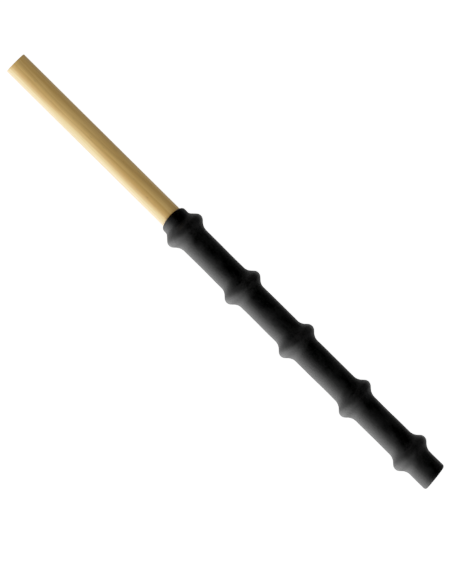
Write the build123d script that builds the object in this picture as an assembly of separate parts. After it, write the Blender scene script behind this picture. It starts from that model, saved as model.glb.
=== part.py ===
from build123d import *
import math
import os

# Hand stick of a devil stick set, in millimetres and degrees.
# A wooden dowel carries five rubber rings, and a rubber tube is stretched over the rings and most
# of the dowel, so that each ring raises a rib. The bare end of the dowel is the handle.
# The stick lies along X: handle towards -X, ribbed end towards +X. It rests on its ribs on z = 0,
# with the origin below the middle of its length.

# Dowel
dowel_radius = 8.0
dowel_end_rounding = 0.6
stick_length = 386.0  # handle end to sleeve end, measured on the axis
dowel_recess = 1.5  # the dowel stops this far inside the sleeve's end

# Sleeve: a tube with both ends cut by hand, so neither is quite square
handle_length = 144.7  # bare wood, measured on the axis
sleeve_wall = 2.0
handle_cut_lean = 16.0  # the rim reaches furthest along the handle on the upper side
handle_cut_turn = 1.5  # and a little further on the +Y side than on the -Y side
end_cut_turn = 6.0  # the far end is longest on the -Y side
rim_rounding = 1.4

# Rings: round cord, each a slightly different distance from the sleeve's end and a little askew
ring_cord_diameter = 4.7
ring_squeeze = 0.1  # how far the dowel flattens the ring's inside
ring_from_end = (229.9, 177.0, 127.5, 73.9, 23.5)
ring_lean = (1.8, 2.4, 2.0, -7.5, -4.0)  # about Z, positive carries the +Y side towards +X

# Ribs: the sleeve's wall where it bridges a ring
wall_over_ring = 1.9
flank_angle = 43.0
rib_foot_radius = 8.0
first_foot_radius = 3.0  # at the foot beside the handle, where the sleeve's free end grips the dowel

ring_cord_radius = ring_cord_diameter / 2
ring_radius = dowel_radius + ring_cord_radius - ring_squeeze
sleeve_radius = dowel_radius + sleeve_wall
crest_radius = ring_radius + ring_cord_radius + wall_over_ring
overrun = 10.0  # spare length on a blank before its ends are cut


def cylinder_x(radius, start, end):
    """A cylinder about the X axis between two places along it."""
    middle = (start + end) / 2
    return Pos(middle, 0, 0) * Rot(0, 90, 0) * Cylinder(radius, end - start)


def at_ring(index, shape):
    """Moves a shape made round the X axis to a ring's place, with the ring's lean."""
    return Pos(stick_length - ring_from_end[index], 0, 0) * Rot(0, 0, -ring_lean[index]) * shape


def tent(cord_radius, foot_radius):
    """A solid of revolution: an arc round the ring's cord, with straight flanks down to a radius."""
    run = cord_radius * math.sin(math.radians(flank_angle))
    shoulder = ring_radius + cord_radius * math.cos(math.radians(flank_angle))
    foot = run + (shoulder - foot_radius) / math.tan(math.radians(flank_angle))
    crest = ThreePointArc((-run, shoulder), (0, ring_radius + cord_radius), (run, shoulder))
    right = [(run, shoulder), (foot, foot_radius), (foot, 0)]
    left = [(-foot, 0), (-foot, foot_radius), (-run, shoulder)]
    return revolve(make_face(crest + Polyline(*right, *left)), axis=Axis.X)


def wooden_dowel():
    """The full-length dowel, with its two ends eased."""
    dowel = cylinder_x(dowel_radius, 0, stick_length - dowel_recess)
    rims = dowel.edges().filter_by(GeomType.CIRCLE)
    return fillet(rims, dowel_end_rounding)


def rib_ring(index):
    """One round-section ring, flattened where it presses on the dowel."""
    ring = at_ring(index, Rot(0, 90, 0) * Torus(ring_radius, ring_cord_radius))
    return ring - cylinder_x(dowel_radius, 0, stick_length)


def cut_plane(along, lean_about_y, lean_about_z):
    """A cut across the stick that faces the handle."""
    return Plane(Pos(along, 0, 0) * Rot(0, lean_about_y, lean_about_z) * Rot(0, -90, 0))


def ribbed_blank():
    """The sleeve's outside as a solid bar: a cylinder with a rib over each ring, blended at its foot."""
    bar = cylinder_x(sleeve_radius, handle_length - overrun, stick_length + overrun)
    for index in range(len(ring_from_end)):
        rib = tent(ring_cord_radius + wall_over_ring, dowel_radius)
        bar = bar + at_ring(index, rib)
    feet = rib_feet(bar)
    bar = fillet(feet[1:], rib_foot_radius)
    return fillet(rib_feet(bar)[0], first_foot_radius)


def rib_feet(bar):
    """The closed edges where a rib's flank or its blend meets the tube, from the handle on."""
    return bar.edges().filter_by(is_rib_foot).sort_by(Axis.X)


def is_rib_foot(edge):
    """True for an edge that goes round the tube between the sleeve's ends."""
    box = edge.bounding_box()
    goes_round = box.size.Y > 1.9 * sleeve_radius
    inside_ends = box.min.X > handle_length and box.max.X < stick_length
    on_tube = box.max.Z < sleeve_radius + 0.1
    return goes_round and inside_ends and on_tube


def rubber_sleeve():
    """The stretched tube: ribbed outside, cut ends with rounded rims, bore and ring cavities."""
    handle_cut = cut_plane(handle_length, -handle_cut_lean, handle_cut_turn)
    end_cut = cut_plane(stick_length, 0, end_cut_turn)
    sleeve = split(ribbed_blank(), bisect_by=handle_cut, keep=Keep.BOTTOM)
    sleeve = split(sleeve, bisect_by=end_cut, keep=Keep.TOP)
    along_x = sleeve.faces().sort_by(Axis.X)
    rims = along_x[0].edges() + along_x[-1].edges()
    sleeve = fillet(rims, rim_rounding)
    sleeve = sleeve - cylinder_x(dowel_radius, handle_length - overrun, stick_length + overrun)
    for index in range(len(ring_from_end)):
        cavity = at_ring(index, tent(ring_cord_radius, dowel_radius - 1))
        sleeve = sleeve - cavity
    return sleeve


parts = {"wooden_dowel": wooden_dowel(), "rubber_sleeve": rubber_sleeve()}
for ring in range(len(ring_from_end)):
    parts[f"rib_ring_{ring + 1}"] = rib_ring(ring)

sleeve_reach = parts["rubber_sleeve"].bounding_box().max.X
resting_place = Pos(-sleeve_reach / 2, 0, crest_radius)
os.makedirs("parts", exist_ok=True)
for node, shape in parts.items():
    export_step(resting_place * shape, f"parts/{node}.step")
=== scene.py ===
import math

import bmesh
import bpy
import numpy as np
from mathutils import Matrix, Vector


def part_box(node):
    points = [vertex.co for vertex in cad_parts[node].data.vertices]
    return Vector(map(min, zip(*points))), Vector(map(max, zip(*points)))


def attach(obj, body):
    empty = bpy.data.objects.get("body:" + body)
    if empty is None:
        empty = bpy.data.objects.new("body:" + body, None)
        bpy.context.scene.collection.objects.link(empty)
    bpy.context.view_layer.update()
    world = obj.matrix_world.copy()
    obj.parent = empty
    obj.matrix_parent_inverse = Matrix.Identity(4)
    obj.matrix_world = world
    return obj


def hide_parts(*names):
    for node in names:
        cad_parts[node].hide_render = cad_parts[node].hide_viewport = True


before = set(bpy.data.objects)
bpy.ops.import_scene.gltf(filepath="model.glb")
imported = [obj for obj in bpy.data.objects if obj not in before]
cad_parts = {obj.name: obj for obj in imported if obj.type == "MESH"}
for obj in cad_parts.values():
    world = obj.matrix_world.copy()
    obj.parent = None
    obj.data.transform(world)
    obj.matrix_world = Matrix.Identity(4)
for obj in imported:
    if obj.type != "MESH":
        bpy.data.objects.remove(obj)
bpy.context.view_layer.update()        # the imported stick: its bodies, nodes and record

MM = 0.001

# The stick's make-up, with the same sizes as the CAD parts
SLEEVE_WALL = 2.0 * MM
WALL_OVER_RING = 1.9 * MM
RING_CORD_RADIUS = 2.35 * MM
FLANK_ANGLE = math.radians(43.0)
RIB_FOOT_RADIUS = 8.0 * MM
FIRST_FOOT_RADIUS = 3.0 * MM  # beside the handle, where the sleeve's free end grips the dowel
HANDLE_CUT_LEAN = math.radians(16.0)
HANDLE_CUT_TURN = math.radians(1.5)
FAR_CUT_TURN = math.radians(6.0)
DOWEL_EASING = 0.6 * MM

# The sleeve's ends are a little softer than the CAD part's, and its bore just clears the dowel
RIM_ROUNDING = 1.8 * MM
LIP_ROUNDING = 0.3 * MM  # where each end turns into the bore
CUT_FADE = 9.0 * MM  # a cut end's slope fades out over this much of the sleeve
FIT_GAP = 0.02 * MM

# Unevenness. Each wave is a length along the stick, lobes around it and a height.
RIB_SEED = 7
RING_WANDER = ((1, 2, 0.12 * MM), (1, 3, 0.08 * MM))  # of a rib from its plane, the same all along
FOOT_SPREAD = (0.85, 1.1)  # smallest and largest rib foot, as shares of RIB_FOOT_RADIUS
CREST_DROP = 0.08 * MM
SLEEVE_SEED = 3
SLEEVE_WAVES = ((61 * MM, 1, 0.05 * MM), (37 * MM, 2, 0.04 * MM), (23 * MM, 3, 0.025 * MM))
GRAIN_SEED = 5
GRAIN_WAVES = ((90 * MM, 17, 0.006 * MM), (140 * MM, 29, 0.005 * MM))
TURNING_SEED = 11
TURNING_WAVES = ((400 * MM, 2, 0.03 * MM), (170 * MM, 3, 0.015 * MM))
TURNING_DEPTH = 0.06 * MM  # taken off all round, so that no wave rises past the true radius

# Mesh fineness: points round the stick, spacing along each kind of surface, points at a rounded corner
AROUND = 144
SLEEVE_STEP = 0.6 * MM
END_STEP = 0.3 * MM
BORE_STEP = 1.8 * MM
DOWEL_STEP = 1.0 * MM
DISC_STEP = 0.5 * MM
NO_POINTS = 1.0  # a spacing longer than any run
CORNER_STEPS = 6

# The picture: the stick from straight above, on the diagonal
STICK_TILT = math.radians(44.7)
PICTURE_HEIGHT = 381.5 * MM
STICK_ABOVE_CENTRE = 13.8 * MM
STICK_LEFT_OF_CENTRE = 0.2 * MM
LENS = 400.0
SENSOR = 36.0
CLIP_RANGE = (0.1, 100.0)

# Wood: its colours, and its growth rings, in millimetres
PALE_WOOD = (0.79, 0.52, 0.165, 1)
WARM_WOOD = (0.66, 0.395, 0.09, 1)
LATE_WOOD = (0.50, 0.29, 0.07, 1)
FIBRE_WOOD = (0.46, 0.255, 0.055, 1)
SPECK_WOOD = (0.16, 0.08, 0.03, 1)
END_WOOD = (0.34, 0.19, 0.07, 1)
AXIS_FROM_PITH = (0, 26, 34)
YEARS_PER_MM = 0.55
YEAR_WANDER = 9.0

# How strongly each wood pattern covers what is under it, its roughness and its relief in millimetres
LATE_COVER = 0.32
FIBRE_COVER = 0.35
SPECK_COVER = 0.6
END_COVER = 0.45
WOOD_ROUGHNESS = (0.42, 0.62)
FIBRE_RELIEF = 0.06
YEAR_RELIEF = 0.02

# Rubber: how light it is, and how strongly it shines
SLEEVE_LEVEL = 0.012
SLEEVE_SHINE = 0.55
RING_LEVEL = 0.02
RING_SHINE = 0.4
MOTTLE_RANGE = (0.7, 1.5)  # darkest and lightest, as shares of the level
DUST_AND_SHEEN_SHARE = 3  # how light dust and the lightened rib crests are, as a share of the level; the crests are partly rubbed, partly a painted highlight
DUST_COVER = 0.4
# how strongly the rib crests are lightened: partly rubbed wear, partly a painted highlight
WORN_AND_SHEEN_COVER = 0.3
CREST_START = 2.5  # rubbing and the painted highlight on the crests start this many millimetres above the tube
RUBBER_ROUGHNESS = (0.40, 0.50)
WORN_SMOOTHING = 0.1
GRAIN_RELIEF = 0.035
DRAWN_RELIEF = 0.05
SCUFF_RELIEF = 0.08

# The studio, in metres: a white floor that sweeps up into a wall
FLOOR_START = 0.5
FLOOR_REACH = 8.0
SWEEP = 6.0
SWEEP_STEPS = 12
WALL_HEIGHT = 14.0
WALL_SIDES = 64
PAPER_TONE = 0.3
PAPER_GLOW = 1.3
PAPER_ROUGHNESS = 0.9

# Its light: three soft lobes, each a direction, how tightly it gathers and how strong it is, over a dim
# surround that is dimmer below the horizon, and a little light from the table straight below
LOBES = (
    ((0.30, -0.94, -0.18), 2.3, 3.15),  # the main light
    ((-0.70, -0.50, -0.50), 3.0, 0.45),  # a fill from the handle's side
    ((0.0, 0.55, -0.84), 5.0, 0.22),  # a low light on the far side
)
SURROUND_LEVEL = 0.41
LOW_SHARE = 0.5
SURROUND_FADE = (-0.6, 0.1)
TABLE_LEVEL = 0.2
TABLE_FADE = (-0.9, -0.4)

# The film: what is cut off as black, and how the highlights are held back
BLACK_LEVEL = 0.0229
SHOULDER = ((0.5, 0.5), (0.75, 0.705), (1.0, 0.835))


# ---- places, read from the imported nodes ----

DOWEL_LOW, DOWEL_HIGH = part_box("wooden_dowel")
SLEEVE_LOW, SLEEVE_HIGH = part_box("rubber_sleeve")
AXIS_Z = (DOWEL_LOW.z + DOWEL_HIGH.z) / 2
DOWEL_RADIUS = (DOWEL_HIGH.z - DOWEL_LOW.z) / 2
BORE_RADIUS = DOWEL_RADIUS + FIT_GAP
TUBE_RADIUS = DOWEL_RADIUS + SLEEVE_WALL
CREST_RADIUS = (SLEEVE_HIGH.z - SLEEVE_LOW.z) / 2
RING_NODES = sorted(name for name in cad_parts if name.startswith("rib_ring_"))  # handle first


def ring_plane(node):
    """Where a ring's plane crosses the axis, and how far x moves in it for each metre of y and z."""
    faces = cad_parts[node].data.polygons
    places = np.array([face.center for face in faces])
    areas = np.array([face.area for face in faces])[:, None]
    low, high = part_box(node)
    centre = np.array((low + high) / 2)
    offsets = places - centre
    normal = np.linalg.eigh((offsets * areas).T @ offsets)[1][:, 0]
    return centre[0], -normal[1] / normal[0], -normal[2] / normal[0]


# ---- meshes ----

def ripple(along, around, waves, seed):
    """Smooth unevenness of a round surface. seed is a number, or a generator that is drawn from."""
    draw = np.random.default_rng(seed)
    total = np.zeros(np.broadcast(along, around).shape)
    for length, lobes, height in waves:
        phase = draw.uniform(0, 2 * math.pi)
        total += height * np.cos(2 * math.pi * along / length + lobes * around + phase)
    return total


def unit(vector):
    """A vector's direction, at a length of 1."""
    return vector / np.linalg.norm(vector)


def rounded_loop(corners, steps):
    """Points round a closed outline of right-angled corners, each (x, r, rounding).

    steps holds the point spacing on the run that follows each corner.
    """
    turn = np.linspace(0, math.pi / 2, CORNER_STEPS)[:, None]
    arcs = []
    for index, (x, r, rounding) in enumerate(corners):
        corner = np.array((x, r))
        back = unit(np.array(corners[index - 1][:2]) - corner)
        on = unit(np.array(corners[(index + 1) % len(corners)][:2]) - corner)
        centre = corner + rounding * (back + on)
        arcs.append(centre - rounding * (np.cos(turn) * on + np.sin(turn) * back))
    loop = []
    for index, arc in enumerate(arcs):
        target = arcs[(index + 1) % len(arcs)][0]
        pieces = max(1, round(np.linalg.norm(target - arc[-1]) / steps[index]))
        run = np.linspace(arc[-1], target, pieces + 1)[1:-1]
        loop += [arc, run]
    return np.concatenate(loop).T


def skin(name, rings, joined=False):
    """A mesh of quads between rings of points.

    joined closes the last ring on the first. Otherwise both are capped.
    """
    count, around, _ = rings.shape
    points = rings.reshape(-1, 3).tolist()
    faces = []
    for row in range(count if joined else count - 1):
        here, there = row * around, (row + 1) % count * around
        for column in range(around):
            beside = (column + 1) % around
            faces.append((here + column, here + beside, there + beside, there + column))
    capped = () if joined else (0, count - 1)
    for row in capped:
        points.append(rings[row].mean(axis=0).tolist())
        for column in range(around):
            beside = (column + 1) % around
            faces.append((len(points) - 1, row * around + column, row * around + beside))
    mesh = bpy.data.meshes.new(name)
    mesh.from_pydata(points, [], faces)
    work = bmesh.new()
    work.from_mesh(mesh)
    bmesh.ops.recalc_face_normals(work, faces=work.faces)
    work.to_mesh(mesh)
    work.free()
    mesh.shade_smooth()
    piece = bpy.data.objects.new(name, mesh)
    bpy.context.scene.collection.objects.link(piece)
    return piece


def on_stick(x, radius, around):
    """Points at places along the stick and distances from its axis."""
    y = radius * np.sin(around)
    z = AXIS_Z + radius * np.cos(around)
    return np.stack(np.broadcast_arrays(x, y, z), axis=-1)


def tent(offset, cord_radius, foot_radius, crest, base):
    """How far a wall that bridges a ring stands above its base, at offsets from the ring's plane."""
    side = np.abs(offset)
    rise, fall = math.tan(FLANK_ANGLE), math.tan(FLANK_ANGLE / 2)
    run = cord_radius * math.sin(FLANK_ANGLE)
    shoulder = crest - cord_radius * (1 - math.cos(FLANK_ANGLE))
    toe = run + (shoulder - base) / rise + foot_radius * fall
    arc = crest - cord_radius + np.sqrt(np.maximum(cord_radius**2 - side**2, 0))
    flank = shoulder - (side - run) * rise
    foot = base + foot_radius - np.sqrt(np.maximum(foot_radius**2 - (toe - side) ** 2, 0))
    wall = np.where(side < run, arc, flank)
    wall = np.where(side > toe - foot_radius * math.sin(FLANK_ANGLE), foot, wall)
    return np.where(side > toe, 0, wall - base)


def fade(distance):
    """1 at a cut end, falling smoothly to 0 over CUT_FADE."""
    share = np.clip(distance / CUT_FADE, 0, 1)
    return 1 - share**2 * (3 - 2 * share)


def bridged_rings(x, radius, around, outside):
    """How far the wall lifts over the rings: ribs on its outside, hollows in its bore."""
    y, z = radius * np.sin(around), radius * np.cos(around)
    draw = np.random.default_rng(RIB_SEED)
    height = np.zeros(x.shape)
    for node in RING_NODES:
        middle, slope_y, slope_z = ring_plane(node)
        square = 1 / math.sqrt(1 + slope_y**2 + slope_z**2)
        wander = ripple(0, around, RING_WANDER, draw)
        offset = (x - middle - slope_y * y - slope_z * z + wander) * square
        foot = RIB_FOOT_RADIUS * draw.uniform(*FOOT_SPREAD)
        if node == RING_NODES[0]:
            foot = np.where(offset < 0, FIRST_FOOT_RADIUS, foot)
        crest = CREST_RADIUS - draw.uniform(0, CREST_DROP)
        rib = tent(offset, RING_CORD_RADIUS + WALL_OVER_RING, foot, crest, TUBE_RADIUS)
        hollow = tent(offset, RING_CORD_RADIUS, 0, CREST_RADIUS - WALL_OVER_RING, BORE_RADIUS)
        height += np.where(outside, rib, hollow)
    return height


def rubber_sleeve():
    """The stretched tube as a closed wall, with its ribs, ring hollows, sloping ends and unevenness."""
    lean = math.tan(HANDLE_CUT_LEAN)
    turn = math.tan(HANDLE_CUT_TURN)
    far_turn = math.tan(FAR_CUT_TURN)
    start = SLEEVE_LOW.x + (TUBE_RADIUS - RIM_ROUNDING) * math.hypot(lean, turn)
    end = SLEEVE_HIGH.x - (TUBE_RADIUS - RIM_ROUNDING) * far_turn
    corners = [
        (start, TUBE_RADIUS, RIM_ROUNDING),
        (end, TUBE_RADIUS, RIM_ROUNDING),
        (end, BORE_RADIUS, LIP_ROUNDING),
        (start, BORE_RADIUS, LIP_ROUNDING),
    ]
    x, radius = rounded_loop(corners, (SLEEVE_STEP, END_STEP, BORE_STEP, END_STEP))
    x, radius = x[:, None], radius[:, None]
    around = np.linspace(0, 2 * math.pi, AROUND, endpoint=False)[None, :]
    outside = radius > (BORE_RADIUS + TUBE_RADIUS) / 2
    y, z = radius * np.sin(around), radius * np.cos(around)
    near_start, near_end = fade(x - start), fade(end - x)
    x = x - (z * lean + y * turn) * near_start - y * far_turn * near_end
    height = bridged_rings(x, radius, around, outside)
    uneven = ripple(x, around, SLEEVE_WAVES, SLEEVE_SEED) * (1 - near_start) * (1 - near_end)
    height += np.where(outside, uneven, 0)
    return skin("sleeve", on_stick(x, radius + height, around), joined=True)


def wooden_dowel():
    """The dowel from end to end: slightly out of round, with raised grain and eased ends."""
    corners = [
        (DOWEL_LOW.x, 0, 0),
        (DOWEL_LOW.x, DOWEL_RADIUS, DOWEL_EASING),
        (DOWEL_HIGH.x, DOWEL_RADIUS, DOWEL_EASING),
        (DOWEL_HIGH.x, 0, 0),
    ]
    x, radius = rounded_loop(corners, (DISC_STEP, DOWEL_STEP, DISC_STEP, NO_POINTS))
    off_axis = radius > DISC_STEP / 2
    x, radius = x[off_axis][:, None], radius[off_axis][:, None]
    around = np.linspace(0, 2 * math.pi, AROUND, endpoint=False)[None, :]
    grain = ripple(x, around, GRAIN_WAVES, GRAIN_SEED)
    turning = ripple(x, around, TURNING_WAVES, TURNING_SEED)
    at_rim = (radius / DOWEL_RADIUS) ** 4  # the end discs stay plain towards their middle
    change = (grain + turning - TURNING_DEPTH) * at_rim
    return skin("dowel", on_stick(x, radius + change, around))


# ---- materials ----

class Recipe:
    """A node material built up by short calls.

    place is measured in millimetres from the stick's axis, below which the frame's origin lies.
    """

    def __init__(self, name, **surface):
        self.material = bpy.data.materials.new(name)
        self.material.use_nodes = True
        self.tree = self.material.node_tree
        self.surface = self.tree.nodes["Principled BSDF"]
        for socket, value in surface.items():
            self.surface.inputs[socket.replace("_", " ")].default_value = value
        place = self.put("ShaderNodeTexCoord").outputs["Object"]
        centred = self.vector("ADD", place, (0, 0, -AXIS_Z))
        scaled = {0: centred, "Scale": 1 / MM}
        self.place = self.put("ShaderNodeVectorMath", scaled, operation="SCALE").outputs[0]

    def put(self, kind, inputs=None, **settings):
        """Adds a node. inputs gives each socket, by name or number, a value or another node's output."""
        node = self.tree.nodes.new(kind)
        for key, value in settings.items():
            setattr(node, key, value)
        for socket, value in (inputs or {}).items():
            if isinstance(value, bpy.types.NodeSocket):
                self.tree.links.new(value, node.inputs[socket])
            else:
                node.inputs[socket].default_value = value
        return node

    def stretched(self, along, across, start=(0, 0, 0)):
        """The place scaled apart along the stick and across it, for patterns that run lengthwise."""
        inputs = {"Vector": self.place, "Location": start, "Scale": (along, across, across)}
        return self.put("ShaderNodeMapping", inputs).outputs[0]

    def vector(self, operation, *values):
        """A sum or product of two vectors."""
        inputs = dict(enumerate(values))
        return self.put("ShaderNodeVectorMath", inputs, operation=operation).outputs[0]

    def length(self, vector):
        """A vector's length."""
        return self.put("ShaderNodeVectorMath", {0: vector}, operation="LENGTH").outputs["Value"]

    def noise(self, vector, detail=2.0, roughness=0.5, distortion=0.0):
        """A cloudy pattern from 0 to 1, one unit of vector to a patch."""
        inputs = {
            "Vector": vector, "Scale": 1.0, "Detail": detail,
            "Roughness": roughness, "Distortion": distortion,
        }
        return self.put("ShaderNodeTexNoise", inputs).outputs["Fac"]

    def math(self, operation, first, second=0.0):
        """Arithmetic on one or two values."""
        return self.put("ShaderNodeMath", {0: first, 1: second}, operation=operation).outputs[0]

    def spread(self, value, low, high, to_low=0.0, to_high=1.0):
        """value from low to high made to run from to_low to to_high, held at both."""
        inputs = {"Value": value, "From Min": low, "From Max": high, "To Min": to_low, "To Max": to_high}
        return self.put("ShaderNodeMapRange", inputs, interpolation_type="SMOOTHSTEP").outputs[0]

    def mix(self, amount, first, second):
        """One colour over another by an amount. Its colour sockets are inputs 6 and 7 and output 2."""
        node = self.put("ShaderNodeMix", {0: amount, 6: first, 7: second}, data_type="RGBA")
        return node.outputs[2]

    def bump(self, height, depth, under=None):
        """Relief from a height of 0 to 1, depth millimetres deep, over an earlier relief."""
        inputs = {"Height": height, "Distance": depth * MM, "Strength": 1.0}
        if under:
            inputs["Normal"] = under
        return self.put("ShaderNodeBump", inputs).outputs[0]

    def finish(self, colour, roughness, relief):
        """Joins the patterns to the surface and hands the material over."""
        for socket, value in (("Base Color", colour), ("Roughness", roughness), ("Normal", relief)):
            self.tree.links.new(value, self.surface.inputs[socket])
        return self.material


def grey(level):
    """A neutral colour."""
    return (level, level, level, 1)


def wood():
    """Pale, straight-grained wood: growth rings about a far pith, fibres, specks, darker end grain."""
    make = Recipe("dowel_wood", Specular_IOR_Level=1.0, Coat_Weight=0.8, Coat_Roughness=0.4)
    wander = make.noise(make.stretched(0.008, 0.03), detail=1)
    shifted = make.vector("ADD", make.place, AXIS_FROM_PITH)
    from_pith = make.length(make.vector("MULTIPLY", shifted, (0, 1, 1)))
    grown = make.math("ADD", from_pith, make.math("MULTIPLY", wander, YEAR_WANDER))
    year = make.math("MULTIPLY", grown, YEARS_PER_MM)
    season = make.math("FRACT", year)
    late = make.spread(season, 0.45, 0.97)
    early = make.spread(season, 0.0, 0.06, 1.0, 0.0)
    ring = make.math("MAXIMUM", late, early)
    fibre = make.noise(make.stretched(0.03, 3.0), detail=3, roughness=0.6)
    streak = make.noise(make.stretched(0.02, 0.3, (7, 3, 1)), detail=2)
    speck = make.noise(make.stretched(0.22, 1.7, (8.9, 9, 4)), detail=1)
    streaked = make.mix(make.spread(streak, 0.3, 0.7), PALE_WOOD, WARM_WOOD)
    banded = make.mix(make.math("MULTIPLY", ring, LATE_COVER), streaked, LATE_WOOD)
    fibred = make.mix(make.spread(fibre, 0.35, 0.75, 0.0, FIBRE_COVER), banded, FIBRE_WOOD)
    specked = make.mix(make.spread(speck, 0.74, 0.80, 0.0, SPECK_COVER), fibred, SPECK_WOOD)
    facing = make.put("ShaderNodeSeparateXYZ", {0: make.put("ShaderNodeTexCoord").outputs["Normal"]})
    end_grain = make.spread(make.math("ABSOLUTE", facing.outputs["X"]), 0.5, 0.95)
    colour = make.mix(make.math("MULTIPLY", end_grain, END_COVER), specked, END_WOOD)
    roughness = make.spread(fibre, 0.2, 0.8, *WOOD_ROUGHNESS)
    relief = make.bump(fibre, FIBRE_RELIEF)
    relief = make.bump(make.spread(season, 0.0, 1.0), YEAR_RELIEF, relief)
    return make.finish(colour, roughness, relief)


def rubber(name, level, shine):
    """Matte black rubber: mottled, finely grained, drawn lines along it, dust, and lighter rib crests
    that are partly rubbed and partly a painted highlight.
    """
    make = Recipe(name, Specular_IOR_Level=shine)
    radius = make.length(make.vector("MULTIPLY", make.place, (0, 1, 1)))
    crest = make.spread(radius, TUBE_RADIUS / MM + CREST_START, CREST_RADIUS / MM)
    mottle = make.noise(make.stretched(0.08, 0.16), detail=4, roughness=0.6)
    drawn = make.noise(make.stretched(0.02, 1.6, (5, 1, 2)), detail=2)
    grain = make.noise(make.stretched(3.2, 3.2), detail=2)
    scuff = make.noise(make.stretched(0.9, 0.35, (2, 6, 8)), detail=5, roughness=0.7, distortion=0.6)
    # The rib crests, lighter and a little smoother: partly rubbed wear, partly a painted highlight.
    worn_and_sheen = make.math("MULTIPLY", crest, make.spread(scuff, 0.35, 0.7, 0.35, 1.0))
    darkest, lightest = (grey(level * share) for share in MOTTLE_RANGE)
    dust_and_sheen = grey(level * DUST_AND_SHEEN_SHARE)
    base = make.mix(make.spread(mottle, 0.3, 0.7), darkest, lightest)
    dusty = make.mix(make.spread(scuff, 0.55, 0.75, 0.0, DUST_COVER), base, dust_and_sheen)
    # Painted highlight on the rib crests, mixed with their real rubbing, in the dust's light grey.
    colour = make.mix(make.math("MULTIPLY", worn_and_sheen, WORN_AND_SHEEN_COVER), dusty, dust_and_sheen)
    soft = make.spread(mottle, 0.25, 0.75, *RUBBER_ROUGHNESS)
    roughness = make.math("SUBTRACT", soft, make.math("MULTIPLY", worn_and_sheen, WORN_SMOOTHING))
    relief = make.bump(grain, GRAIN_RELIEF)
    relief = make.bump(drawn, DRAWN_RELIEF, relief)
    relief = make.bump(scuff, SCUFF_RELIEF, relief)
    return make.finish(colour, roughness, relief)


def dress(piece, material):
    """Gives a piece its material."""
    piece.data.materials.clear()
    piece.data.materials.append(material)


# ---- stage, light and camera ----

def stage_material():
    """White paper with a glow of its own, so that it stays plain white from every side."""
    material = bpy.data.materials.new("studio_paper")
    material.use_nodes = True
    surface = material.node_tree.nodes["Principled BSDF"]
    surface.inputs["Base Color"].default_value = grey(PAPER_TONE)
    surface.inputs["Roughness"].default_value = PAPER_ROUGHNESS
    surface.inputs["Specular IOR Level"].default_value = 0.0
    surface.inputs["Emission Color"].default_value = grey(1.0)
    surface.inputs["Emission Strength"].default_value = PAPER_GLOW
    return material


def studio():
    """A pale floor that sweeps up into a pale wall all round. It lights nothing and casts no shade."""
    turn = np.linspace(0, math.pi / 2, SWEEP_STEPS)
    reach = np.concatenate(([FLOOR_START], FLOOR_REACH + SWEEP * np.sin(turn), [FLOOR_REACH + SWEEP]))
    height = np.concatenate(([0.0], SWEEP * (1 - np.cos(turn)), [WALL_HEIGHT]))
    around = np.linspace(0, 2 * math.pi, WALL_SIDES, endpoint=False)[None, :]
    x, y = reach[:, None] * np.cos(around), reach[:, None] * np.sin(around)
    points = np.stack(np.broadcast_arrays(x, y, height[:, None] + SLEEVE_LOW.z), axis=-1)
    paper = skin("studio", points)
    paper.data.materials.append(stage_material())
    paper.visible_diffuse = False
    paper.visible_glossy = False
    paper.visible_shadow = False


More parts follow.
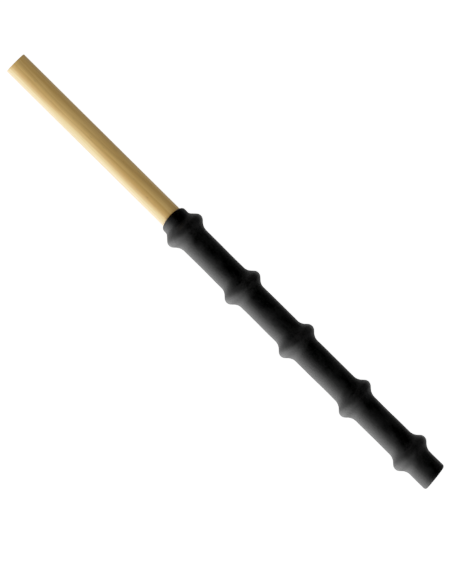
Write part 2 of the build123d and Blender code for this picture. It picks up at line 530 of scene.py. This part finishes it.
def studio_light():
    """Soft light from all round, strongest low on one side. It depends on the direction alone."""
    world = bpy.data.worlds.new("studio_light")
    world.use_nodes = True
    nodes, links = world.node_tree.nodes, world.node_tree.links
    direction = nodes.new("ShaderNodeTexCoord").outputs["Generated"]
    split = nodes.new("ShaderNodeSeparateXYZ")
    links.new(direction, split.inputs[0])

    def math_node(operation, *values):
        """Arithmetic on numbers or other nodes' outputs."""
        node = nodes.new("ShaderNodeMath")
        node.operation = operation
        for index, value in enumerate(values):
            if isinstance(value, bpy.types.NodeSocket):
                links.new(value, node.inputs[index])
            else:
                node.inputs[index].default_value = value
        return node.outputs[0]

    def lobe(side, focus, strength):
        """Light from one side that falls off smoothly away from it."""
        toward = nodes.new("ShaderNodeVectorMath")
        toward.operation = "DOT_PRODUCT"
        toward.inputs[1].default_value = Vector(side).normalized()
        links.new(direction, toward.inputs[0])
        facing = math_node("MAXIMUM", toward.outputs["Value"], 0.0)
        return math_node("MULTIPLY", math_node("POWER", facing, focus), strength)

    def by_height(fade_range, at_low, at_high):
        """A level that changes between two heights of the direction, which run from -1 to 1."""
        node = nodes.new("ShaderNodeMapRange")
        node.interpolation_type = "SMOOTHSTEP"
        for index, value in enumerate((*fade_range, at_low, at_high), start=1):
            node.inputs[index].default_value = value
        links.new(split.outputs["Z"], node.inputs["Value"])
        return node.outputs[0]

    lobes = 0.0
    for side, focus, strength in LOBES:
        lobes = math_node("ADD", lobes, lobe(side, focus, strength))
    surround = by_height(SURROUND_FADE, LOW_SHARE * SURROUND_LEVEL, SURROUND_LEVEL)
    table = by_height(TABLE_FADE, TABLE_LEVEL, 0.0)
    level = math_node("ADD", lobes, math_node("ADD", surround, table))
    nodes["Background"].inputs["Color"].default_value = grey(1.0)
    links.new(level, nodes["Background"].inputs["Strength"])
    bpy.context.scene.world = world


def camera():
    """Straight above the stick and far off, with the stick on the picture's diagonal."""
    lens = bpy.data.cameras.new("camera")
    lens.lens = LENS
    lens.sensor_width = SENSOR
    lens.clip_start, lens.clip_end = CLIP_RANGE
    distance = PICTURE_HEIGHT * LENS / SENSOR
    right = Vector((math.cos(STICK_TILT), math.sin(STICK_TILT), 0))
    up = Vector((-right.y, right.x, 0))
    middle = Vector(((DOWEL_LOW.x + SLEEVE_HIGH.x) / 2, 0, AXIS_Z))
    target = middle - STICK_ABOVE_CENTRE * up + STICK_LEFT_OF_CENTRE * right
    eye = bpy.data.objects.new("camera", lens)
    eye.location = target + Vector((0, 0, distance))
    eye.rotation_euler = (0, 0, STICK_TILT)
    bpy.context.scene.collection.objects.link(eye)
    bpy.context.scene.camera = eye


def film():
    """Plain colours, with the deepest shades taken down to black and the highlights held back."""
    view = bpy.context.scene.view_settings
    view.view_transform = "Standard"
    view.use_curve_mapping = True
    view.curve_mapping.black_level = (BLACK_LEVEL,) * 3
    view.curve_mapping.extend = "EXTRAPOLATED"
    curve = view.curve_mapping.curves[3]  # the one for all three colours together
    curve.points[1].location = SHOULDER[-1]
    for place in SHOULDER[:-1]:
        curve.points.new(*place)
    view.curve_mapping.update()


# ---- the scene ----

camera()
dowel = wooden_dowel()
dress(dowel, wood())
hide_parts("wooden_dowel")
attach(dowel, "root")
sleeve = rubber_sleeve()
dress(sleeve, rubber("sleeve_rubber", SLEEVE_LEVEL, SLEEVE_SHINE))
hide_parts("rubber_sleeve")
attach(sleeve, "root")
ring_material = rubber("ring_rubber", RING_LEVEL, RING_SHINE)
for node in RING_NODES:
    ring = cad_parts[node]
    ring.data.materials.clear()
    ring.data.materials.append(ring_material)
studio()
studio_light()
film()
